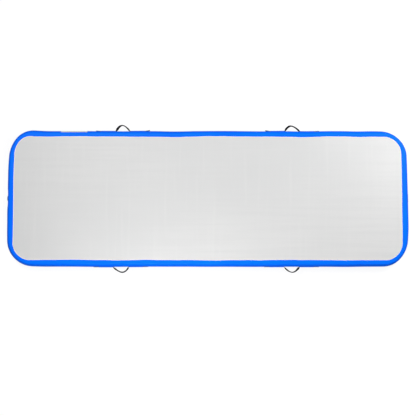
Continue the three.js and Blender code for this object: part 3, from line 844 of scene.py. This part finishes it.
# How far outside the root line the webbing starts and ends to move with its loop's body.
CHANNEL = (WEB_HALF / BULGE_RADIUS + math.radians(0.6), WEB_HALF / BULGE_RADIUS + math.radians(4.5))
# The places along a loop, from 0 to 1, where its leans are given.
LEAN_AT = (0.01, 0.09, 0.2, 0.32, 0.42, 0.52, 0.65, 0.8, 0.92, 0.99)
# Each loop's width and reach and its peak off the middle in millimetres, its leans in degrees, and
# how many millimetres its two free ends stand off the wall.
HANDLES = {
    "handle_back_left": (108, 46, -6, (0, 37, 31, 21, 9, 4, 9, 16, 25, 0), (2.5, 6.5)),
    "handle_back_right": (117, 41, -8, (0, 39, 34, 28, 20, 7, 6, 10, 20, 0), (6.5, 0.5)),
    "handle_front_left": (120, 40, 11, (0, 24, 15, 14, 18, 22, 24, 24, 38, 0), (0.5, 0)),
    "handle_front_right": (117, 41, 5, (0, 26, 26, 18, 14, 14, 16, 20, 38, 0), (0, 0.5)),
}
# The webbing's cross-section: share of the half width, share of the half thickness.
WEB_OUTER = [(-1, 0), (-0.98, 0.7), (-0.92, 1), (-0.6, 0.94), (-0.3, 0.92), (0, 0.92)]
WEB_OUTER += [(-w, n) for w, n in WEB_OUTER[-2::-1]]
WEB_SECTION = np.array(WEB_OUTER + [(w, -n) for w, n in WEB_OUTER[-2:0:-1]], float)


def channel_lift(angles):
    """A holding patch rises over the webbing in its middle."""
    rise = 1 - smooth_step(np.abs(angles), *CHANNEL)
    return GLUE_LINE + rise * (WEB_THICK + 3 * GLUE_LINE)


def webbing_line(middle, near, far, stub, handle):
    """The webbing in plan: x, u, lean and how closely it hugs the wall, from its left end."""
    chord, reach, skew, leans, lifts = handle
    middle_gap = WEB_GAP + WEB_THICK / 2
    flat_u = BULGE + middle_gap
    line = []
    for distance in np.arange(stub, near, -3 * MM):
        share = max(0.0, (distance - far) / (stub - far))
        line.append((middle - distance, flat_u + lifts[0] * MM * share**1.6, 0.0, 1.0))
    for t in np.linspace(0, 1, 56):
        swing = math.sin(math.pi * t)
        tilt = math.radians(np.interp(t, LEAN_AT, leans))
        x = middle + (chord * (t - 0.5) + skew * swing) * MM
        u = flat_u + (reach * MM - middle_gap) * swing
        line.append((x, u, tilt, max(0.0, 1 - 6 * min(t, 1 - t))))
    for distance in np.arange(near, stub + 1 * MM, 3 * MM):
        share = max(0.0, (distance - far) / (stub - far))
        line.append((middle + distance, flat_u + lifts[1] * MM * share**1.6, 0.0, 1.0))
    return eased(np.array(line), WEB_STEP)


def eased(line, spacing):
    """Spaces a line's points evenly and rounds its bends."""
    along = lengths(line[:, :2])
    count = int(along[-1] / spacing)
    even = np.linspace(0, along[-1], count)
    line = np.column_stack([np.interp(even, along, column) for column in line.T])
    for _ in range(5):
        inner = 0.25 * line[:-2] + 0.5 * line[1:-1] + 0.25 * line[2:]
        line = np.concatenate([line[:1], inner, line[-1:]])
    return line


def make_webbing(name, side, line):
    """One length of webbing: both glued ends and the loop between them."""
    run = np.gradient(line[:, :2], axis=0)
    run /= np.linalg.norm(run, axis=1)[:, None]
    place = on_long_side(side)
    rings = []
    for (x, u, tilt, hug), (run_x, run_u) in zip(line, run):
        w = WEB_SECTION[:, 0] * WEB_HALF
        n = WEB_SECTION[:, 1] * WEB_THICK / 2 - hug * w * w / (2 * BULGE_RADIUS)
        out = n * math.cos(tilt) + w * math.sin(tilt)
        up = w * math.cos(tilt) - n * math.sin(tilt)
        rings.append(place(x - run_u * out, u + run_x * out, MIDDLE + up))
    rings = np.stack(rings)
    across = lengths(rings[0], closed=True)
    points, faces, weave = swept(rings, lengths(line[:, :2]), across)
    piece = finish_mesh(name + "_webbing", points, faces, weave, WEBBING_LOOK, None, sharp=60)
    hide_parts(name + "_loop", name + "_strap_left", name + "_strap_right")
    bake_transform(piece)


def make_handle(name):
    """A handle's webbing and two patches, placed by the frame's patches and strap ends."""
    side = 1 if "back" in name else -1
    left_low, left_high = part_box(name + "_patch_left")
    right_low, right_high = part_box(name + "_patch_right")
    middle = (left_high.x + right_low.x) / 2
    near = (right_low.x - left_high.x) / 2
    far = (right_high.x - left_low.x) / 2
    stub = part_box(name + "_strap_right")[1].x - middle
    make_webbing(name, side, webbing_line(middle, near, far, stub, HANDLES[name]))
    spans = {"left": (left_low.x, left_high.x), "right": (right_low.x, right_high.x)}
    for word, span in spans.items():
        make_patch(
            f"{name}_patch_{word}_fabric", f"{name}_patch_{word}", on_long_side(side), span,
            -PATCH_REACH, PATCH_REACH, 9 * MM, PATCH_LOOK, channel_lift,
        )


# ---- Drop-stitch yarns ----

YARN_PITCH = 12 * MM
YARN_HALF = 0.6 * MM


def make_yarn(row):
    """One continuous yarn that zigzags between the sheets."""
    node = f"drop_stitch_row_{row}"
    low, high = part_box(node)
    y = (low.y + high.y) / 2
    legs = int((high.x - low.x) / YARN_PITCH)
    xs = np.linspace(low.x, high.x, legs + 1)
    zs = np.where(np.arange(legs + 1) % 2, high.z - 1 * MM, low.z + 1 * MM)
    square = YARN_HALF * np.array([(-1, -1), (1, -1), (1, 1), (-1, 1)])
    rings = [np.column_stack([x + square[:, 0], y + square[:, 1], [z] * 4]) for x, z in zip(xs, zs)]
    along = lengths(np.column_stack([xs, zs]))
    points, faces, weave = swept(rings, along, np.arange(5) * 2 * YARN_HALF)
    piece = finish_mesh(f"drop_yarn_{row}", points, faces, weave, YARN_LOOK, "root")
    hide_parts(node)


# ---- Valve ----
# Its own frame: Z points out of the wall from the wall's root, X along the mat's Y and Y down.

SIDES = 96


def valve_place(points):
    """From millimetres in the valve's frame to the mat's frame."""
    points = np.asarray(points, float) * MM
    return np.stack([-ROOT_X - points[..., 2], points[..., 0], VALVE_Z - points[..., 1]], -1)


def softened(outline, radius=0.35, steps=3):
    """Rounds the corners of a closed outline, except on the axis."""
    outline = np.array(outline, float)
    made = []
    for before, here, after in zip(np.roll(outline, 1, 0), outline, np.roll(outline, -1, 0)):
        if here[0] < 1e-6:
            made.append(here)
            continue
        back, on = before - here, after - here
        reach = min(radius, 0.4 * np.linalg.norm(back), 0.4 * np.linalg.norm(on))
        start = here + back / np.linalg.norm(back) * reach
        end = here + on / np.linalg.norm(on) * reach
        for share in np.linspace(0, 1, steps + 1):
            made.append((1 - share) ** 2 * start + 2 * share * (1 - share) * here + share**2 * end)
    return np.array(made)


def make_turned(name, node, outline, look, body, cuts=None, sides=SIDES, radius=0.35):
    """A turned part. cuts(outline, turn) gives the radii with notches or grip ribs cut in."""
    outline = softened(outline, radius)
    turns = np.linspace(0, 2 * math.pi, sides, endpoint=False)
    rings = []
    for turn in turns:
        radii = outline[:, 0] if cuts is None else cuts(outline, turn)
        rings.append(np.column_stack([radii * math.cos(turn), radii * math.sin(turn), outline[:, 1]]))
    rings = valve_place(np.stack(rings))
    along = np.linspace(0, 2 * math.pi * outline[:, 0].max() * MM, sides + 1)
    across = lengths(outline * MM, closed=True)
    points, faces, weave = swept(rings, along, across, endless=True)
    piece = finish_mesh(name, points, faces, weave, look, body, sharp=38, weld=True)
    if node:
        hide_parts(node)
    return piece


def washer(inner, outer, low, high):
    return [(inner, low), (outer, low), (outer, high), (inner, high)]


def grip_ribs(outline, turn):
    rim = smooth_step(outline[:, 0], 24.0, 24.8)
    return outline[:, 0] - 0.25 * rim * (0.5 + 0.5 * math.cos(48 * turn))


def cap_scallops(outline, turn):
    rim = smooth_step(outline[:, 0], 17.5, 19.5)
    notch = max(0.0, math.cos(10 * turn + math.pi)) ** 3
    return outline[:, 0] - 0.95 * rim * notch


def bar(name, start, end, width, low, high, turn, look, body):
    """A rounded bar along a radius of the valve."""
    section = softened([(-width / 2, low), (width / 2, low), (width / 2, high), (-width / 2, high)], 0.3)
    rings = []
    for reach in (start, end):
        x = reach * math.cos(turn) - section[:, 0] * math.sin(turn)
        y = reach * math.sin(turn) + section[:, 0] * math.cos(turn)
        rings.append(np.column_stack([x, y, section[:, 1]]))
    rings = valve_place(np.stack(rings))
    across = lengths(section * MM, closed=True)
    points, faces, weave = swept(rings, np.array([start, end]) * MM, across)
    return finish_mesh(name, points, faces, weave, look, body)


def tube(centre, radius, sides=10):
    """Rings round a line of points in the valve's frame."""
    centre = np.asarray(centre, float)
    run = np.gradient(centre, axis=0)
    run /= np.linalg.norm(run, axis=1)[:, None]
    rings = []
    for point, ahead in zip(centre, run):
        side = np.cross(ahead, (0, 0, 1))
        side /= np.linalg.norm(side)
        up = np.cross(side, ahead)
        turns = np.linspace(0, 2 * math.pi, sides, endpoint=False)
        rings.append(point + radius * (np.outer(np.cos(turns), side) + np.outer(np.sin(turns), up)))
    return np.stack(rings)


SPRING_TURNS, SPRING_RADIUS, SPRING_WIRE = 4, 4.2, 0.5
SPRING_LOW, SPRING_HIGH = -3.15, 5.45


def make_spring():
    share = np.linspace(0, 1, SPRING_TURNS * 28 + 1)
    angle = 2 * math.pi * SPRING_TURNS * share
    x, y = SPRING_RADIUS * np.cos(angle), SPRING_RADIUS * np.sin(angle)
    centre = np.column_stack([x, y, SPRING_LOW + (SPRING_HIGH - SPRING_LOW) * share])
    rings = valve_place(tube(centre, SPRING_WIRE))
    points, faces, weave = swept(rings, lengths(centre * MM), np.arange(11) * 0.3 * MM)
    piece = finish_mesh("valve_spring_wire", points, faces, weave, STEEL_LOOK, None)
    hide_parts("valve_spring")
    low, high = valve_place([0, 0, -3.7]), valve_place([0, 0, 6.0])
    tuple(low)
    tuple(high)
    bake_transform(piece)


HAIRPIN_Y, HAIRPIN_Z, HAIRPIN_RADIUS = 33, 19.3, 2.6


def make_tether_strap():
    """The strap from the flange's ring round a hairpin to the ring on the cap."""
    low, high = HAIRPIN_Z - HAIRPIN_RADIUS, HAIRPIN_Z + HAIRPIN_RADIUS
    line = [(y, low) for y in (26.4, 28.5, 30.8)]
    for angle in np.radians(np.linspace(-90, 90, 13)):
        bend = (math.cos(angle), math.sin(angle))
        line.append((HAIRPIN_Y + HAIRPIN_RADIUS * bend[0], HAIRPIN_Z + HAIRPIN_RADIUS * bend[1]))
    line += [(y, high) for y in np.linspace(31, 7.0, 14)]
    line = np.array(line)
    run = np.gradient(line, axis=0)
    run /= np.linalg.norm(run, axis=1)[:, None]
    section = softened([(-2.5, -0.6), (2.5, -0.6), (2.5, 0.6), (-2.5, 0.6)], 0.45)
    rings = []
    for (y, z), (run_y, run_z) in zip(line, run):
        rings.append(
            np.column_stack([section[:, 0], y - run_z * section[:, 1], z + run_y * section[:, 1]])
        )
    rings = valve_place(np.stack(rings))
    points, faces, weave = swept(rings, lengths(line * MM), lengths(section * MM, closed=True))
    piece = finish_mesh("valve_tether_strap_rubber", points, faces, weave, RUBBER_LOOK, None)
    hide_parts("valve_tether_strap")
    start, end = valve_place([0, 33.0, 21.0]), valve_place([0, 28.26, 27.32])
    tuple(start)
    tuple(end)
    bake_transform(piece)


def make_valve_body():
    """The wall patch, the gasket and the body with the hub and arms that guide the stem."""
    patch = [(18.4, 12.1), (27.5, 12.1), (27.5, 12.7), (27.1, 13.3), (18.4, 13.3)]
    make_turned("valve_wall_doubler", "valve_wall_patch", patch, PATCH_LOOK, "root")
    make_turned(
        "valve_gasket_outer", "valve_outer_gasket", washer(18.4, 24.6, 13.4, 14.8), RUBBER_LOOK,
        "root",
    )
    body = [
        (9.5, -16), (18, -16), (18, 14.9), (25, 14.9), (25, 15.9), (23.4, 15.9), (23.4, 17.5),
        (25, 17.5), (25, 18.0), (22.5, 18.3), (15.2, 18.3), (14, 17.4), (14, -13.5), (9.5, -13.5),
    ]
    make_turned(
        "valve_body_turned", "valve_body", body, VALVE_LOOK, "root",
        cuts=grip_ribs, sides=192,
    )
    make_turned("valve_body_hub", None, washer(2.6, 5, -8, -4), VALVE_LOOK, "root")
    for arm in range(3):
        turn = 2 * math.pi * arm / 3
        name = f"valve_body_arm_{arm + 1}"
        bar(name, 4.2, 15, 2.4, -7.5, -4.5, turn, VALVE_LOOK, "root")


def make_plunger():
    """The stem with its button, the spring's collar and the diaphragm."""
    stem = [(0, -20.6), (4, -20.6), (4, -19.4), (2.2, -19.4), (2.2, 7.5), (6.5, 7.5), (6.5, 9.5)]
    stem += [(5.7, 10.3), (2.6, 10.3), (1.8, 9.7), (0, 9.7)]
    make_turned("valve_stem_turned", "valve_stem", stem, VALVE_LOOK, "plunger", sides=64)
    make_turned(
        "valve_collar_turned", "valve_spring_collar", washer(2.6, 5.6, 6.3, 7.2), VALVE_LOOK,
        "plunger_slide", sides=64,
    )
    diaphragm = [(2.6, -17.8), (12.5, -17.2), (12.5, -16.5), (9.0, -16.3), (2.6, -16.3)]
    make_turned(
        "valve_diaphragm_rubber", "valve_diaphragm", diaphragm, RUBBER_LOOK, "plunger",
    )


def make_cap():
    """The cap with its seal, and the tether's two rings."""
    cap = [
        (0, 11.6), (11, 11.6), (13.4, 12.4), (13.4, 13.5), (11.7, 13.5), (11.7, 15.8), (13.4, 15.8),
        (13.4, 18.6), (20, 18.6), (20, 20.2), (19.4, 20.8), (18.6, 21.05), (17.4, 21.05), (16.8, 20.8),
        (3.5, 20.8), (3.5, 22.9), (4.6, 22.9), (4.4, 23.4), (3.6, 23.6), (0, 23.6),
    ]
    make_turned(
        "valve_cap_moulded", "valve_cap", cap, CAP_LOOK, "cap",
        cuts=cap_scallops, sides=160, radius=0.3,
    )
    seal = [
        (12.85 + 0.85 * math.cos(a), 14.65 + 0.85 * math.sin(a))
        for a in np.linspace(0, 2 * math.pi, 16, endpoint=False)
    ]
    make_turned("valve_cap_o_ring", "valve_cap_seal", seal, RUBBER_LOOK, "cap", radius=0.01)
    make_turned(
        "valve_tether_flange_ring", "valve_tether_base_ring", washer(23.7, 27, 16.1, 17.3),
        RUBBER_LOOK, "root",
    )
    make_turned(
        "valve_tether_knob_ring", "valve_tether_cap_ring", washer(3.9, 7.5, 21.15, 22.5),
        RUBBER_LOOK, "cap_lift",
    )


# ---- Everything together ----


def dress_hidden_nodes():
    """Materials for the three frame parts that stay: they lie inside the mat."""
    looks = {
        "valve_inner_gasket": RUBBER_LOOK,
        "valve_clamp_nut": VALVE_LOOK,
        "valve_backing_washer": VALVE_LOOK,
    }
    for name, look in looks.items():
        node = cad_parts[name]
        node.data.materials.clear()
        node.data.materials.append(look)


def add_floor():
    """A pale floor and a backdrop that only the camera sees."""
    mesh = bpy.data.meshes.new("floor")
    far = 60.0
    under = -0.6 * MM
    corners = [(-far, -far, under), (far, -far, under), (far, far, under), (-far, far, under)]
    mesh.from_pydata(corners, [], [(0, 1, 2, 3)])
    mesh.materials.append(glowing("floor_look", 0.1, 0.12, 0.9))
    floor = bpy.data.objects.new("floor", mesh)
    backdrop = make_backdrop(far)
    for stage in (floor, backdrop):
        stage.visible_diffuse = False
        stage.visible_glossy = False
        stage.visible_shadow = False
    bpy.context.scene.collection.objects.link(floor)


def glowing(name, specular, base, glow):
    """A matt grey that mostly shines by itself."""
    look = Look(name, 0.9, specular)
    look.shader.inputs["Base Color"].default_value = grey(base)
    look.shader.inputs["Emission Color"].default_value = grey(1.0)
    look.shader.inputs["Emission Strength"].default_value = glow
    return look.material


def make_backdrop(far):
    """A white wall all round, far away."""
    bpy.ops.mesh.primitive_cylinder_add(
        vertices=64, radius=far * 0.95, depth=2 * far, location=(0, 0, far * 0.9)
    )
    backdrop = bpy.context.object
    backdrop.name = "backdrop"
    backdrop.data.materials.append(glowing("backdrop_look", 0.0, 0.0, 1.0))
    return backdrop


make_sheet("sheet_top_fabric", "top_sheet", "top", 1.0)
make_sheet("sheet_bottom_fabric", "bottom_sheet", "bottom", 0.0)
make_wall_strip("side_wall_strip_outer", "outer_side_wall", 0.0, 0.0)
make_wall_strip("side_wall_strip_inner", "inner_side_wall", INNER_DEPTH, INNER_SHORTER)
make_seam_bead("seam_bead_top", "top")
make_seam_bead("seam_bead_bottom", "bottom")
make_label()
make_joint_cover()
for handle_name in HANDLES:
    make_handle(handle_name)
for row_number in range(1, 8):
    make_yarn(row_number)
make_valve_body()
make_plunger()
make_cap()
make_spring()
make_tether_strap()
dress_hidden_nodes()
add_floor()
